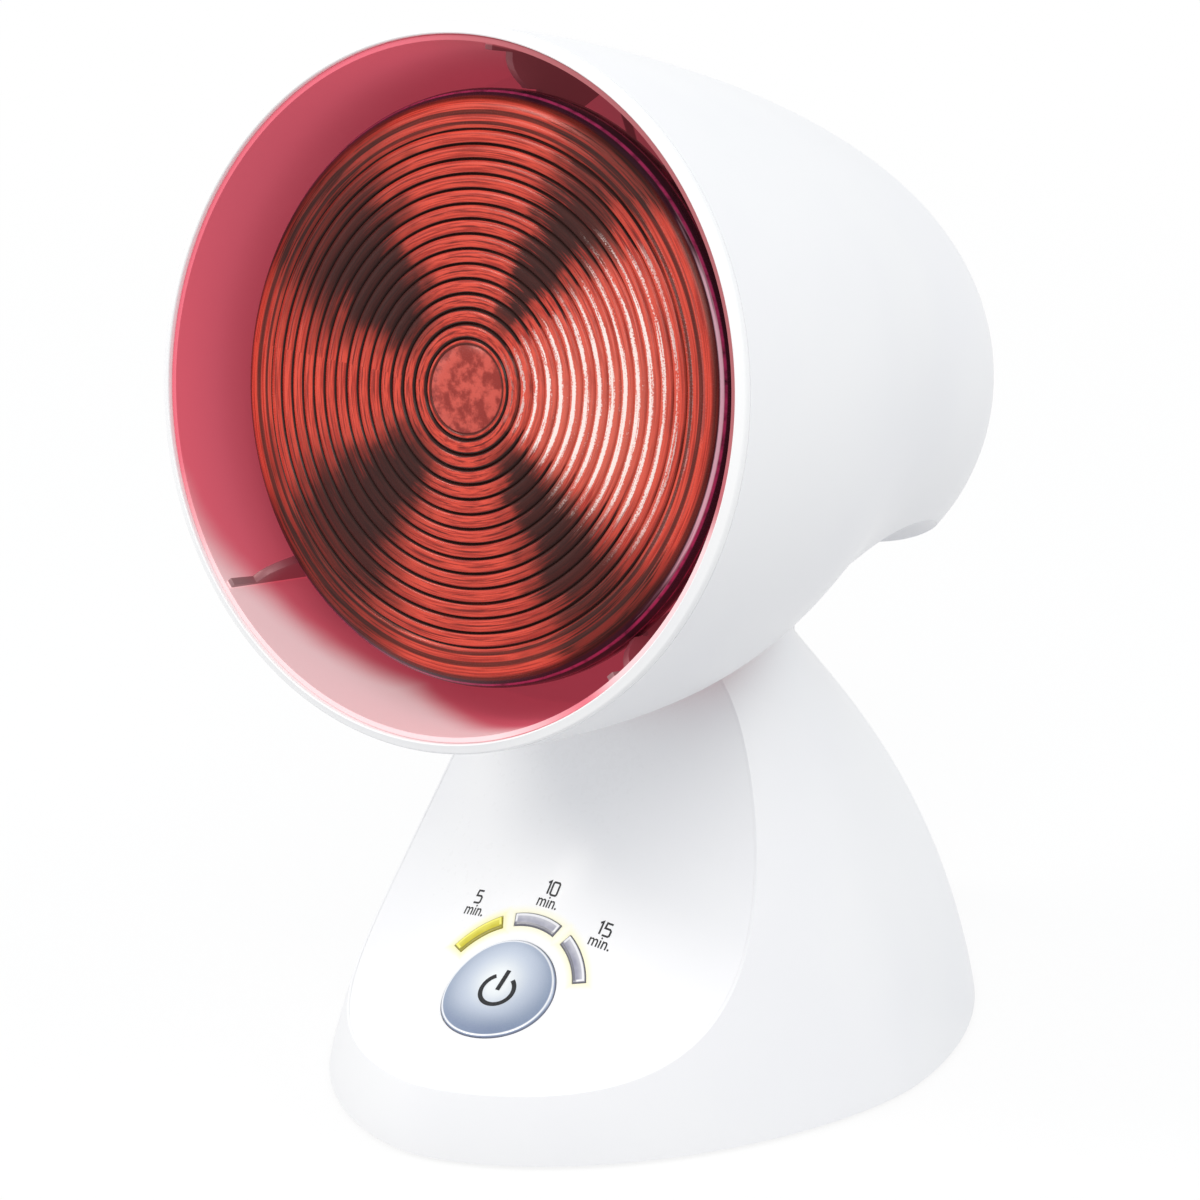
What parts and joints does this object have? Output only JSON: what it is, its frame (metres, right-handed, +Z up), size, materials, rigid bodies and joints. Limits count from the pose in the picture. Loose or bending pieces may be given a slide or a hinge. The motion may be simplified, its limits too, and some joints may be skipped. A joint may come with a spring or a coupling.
{
  "type": "infrared heat therapy lamp",
  "caption": "Table lamp for infrared heat therapy: a bell-shaped head with a pressed-glass reflector bulb tilts on a domed foot with a slanted control panel.",
  "frame": {"origin": "on the table plane, under the middle of the foot, where the rubber feet stand", "axes": "+X to the lamp's right side, -Y is the front that the head and the control panel face, +Z up"},
  "size_m": [0.146, 0.1766, 0.233],
  "materials": {
    "foot_white": "moulded white plastic with a soft gloss",
    "panel_white": "moulded white plastic with a soft gloss",
    "head_white": "moulded white plastic with a soft gloss",
    "ring_white": "white plastic bezel",
    "window_lit": "lit yellow light window",
    "window_dark": "unlit silvery light window",
    "led_clear": "clear epoxy",
    "board_green": "solder-masked glass-fibre board",
    "switch_black": "black moulded plastic",
    "relay_blue": "blue moulded case",
    "capacitor_yellow": "dipped yellow case",
    "base_grey": "fine-grained light grey plastic",
    "rubber_black": "black rubber",
    "terminal_ivory": "ivory polyamide",
    "zinc_steel": "zinc-plated steel",
    "bracket_steel": "galvanised sheet steel",
    "spring_steel": "spring steel",
    "washer_fibre": "fibre friction material",
    "button_silver": "blue-silver lacquered plastic",
    "shade_red": "polished inner shade in crimson light",
    "shield_aluminium": "bright rolled aluminium",
    "lens_red": "ribbed ruby-red pressed glass",
    "mirror_glass": "glass silvered inside",
    "cap_aluminium": "rolled thread sleeve",
    "insulator_black": "black glass",
    "contact_brass": "plain brass",
    "stem_glass": "clear flint glass",
    "tungsten": "drawn tungsten",
    "ceramic_white": "glazed steatite"
  },
  "bodies": {
    "foot": {"foot_shell": "foot_white", "control_panel": "panel_white", "timer_window_5": "window_lit", "timer_window_10": "window_dark", "timer_window_15": "window_dark", "indicator_leds": "led_clear", "circuit_board": "board_green", "board_screws": "zinc_steel", "tact_switch": "switch_black", "relay": "relay_blue", "film_capacitor": "capacitor_yellow", "base_plate": "base_grey", "base_screws": "zinc_steel", "rubber_feet": "rubber_black", "terminal_block": "terminal_ivory", "inlet_bush": "rubber_black", "pivot_bolt": "zinc_steel", "pivot_nut": "zinc_steel", "friction_washers": "washer_fibre", "detent_disc": "zinc_steel"},
    "button": {"power_button": "button_silver", "switch_plunger": "switch_black"},
    "head": {"head_shell": "head_white", "front_ring": "ring_white", "shade_liner": "shade_red", "heat_shield": "shield_aluminium", "hinge_bracket_left": "bracket_steel", "hinge_bracket_right": "bracket_steel", "hinge_screws": "zinc_steel", "detent_spring": "spring_steel", "bulb_lens": "lens_red", "bulb_reflector": "mirror_glass", "bulb_cap": "cap_aluminium", "cap_insulator": "insulator_black", "cap_contact": "contact_brass", "bulb_stem": "stem_glass", "filament": "tungsten", "filament_leads": "tungsten", "lampholder": "ceramic_white", "screw_shell": "contact_brass", "centre_contact": "contact_brass", "holder_bracket": "bracket_steel", "holder_screws": "zinc_steel"}
  },
  "joints": [
    {"name": "head_tilt", "type": "hinge", "parent": "foot", "child": "head", "pos_m": [0, 0.012, 0.11], "axis": [-1, 0, 0], "range_deg": [-9, 27]},
    {"name": "button_press", "type": "slide", "parent": "foot", "child": "button", "axis": [0, 0.5446, -0.8387], "range_m": [0, 0.0012], "stiffness_N_per_m": 1200, "springref_m": -0.0008}
  ]
}
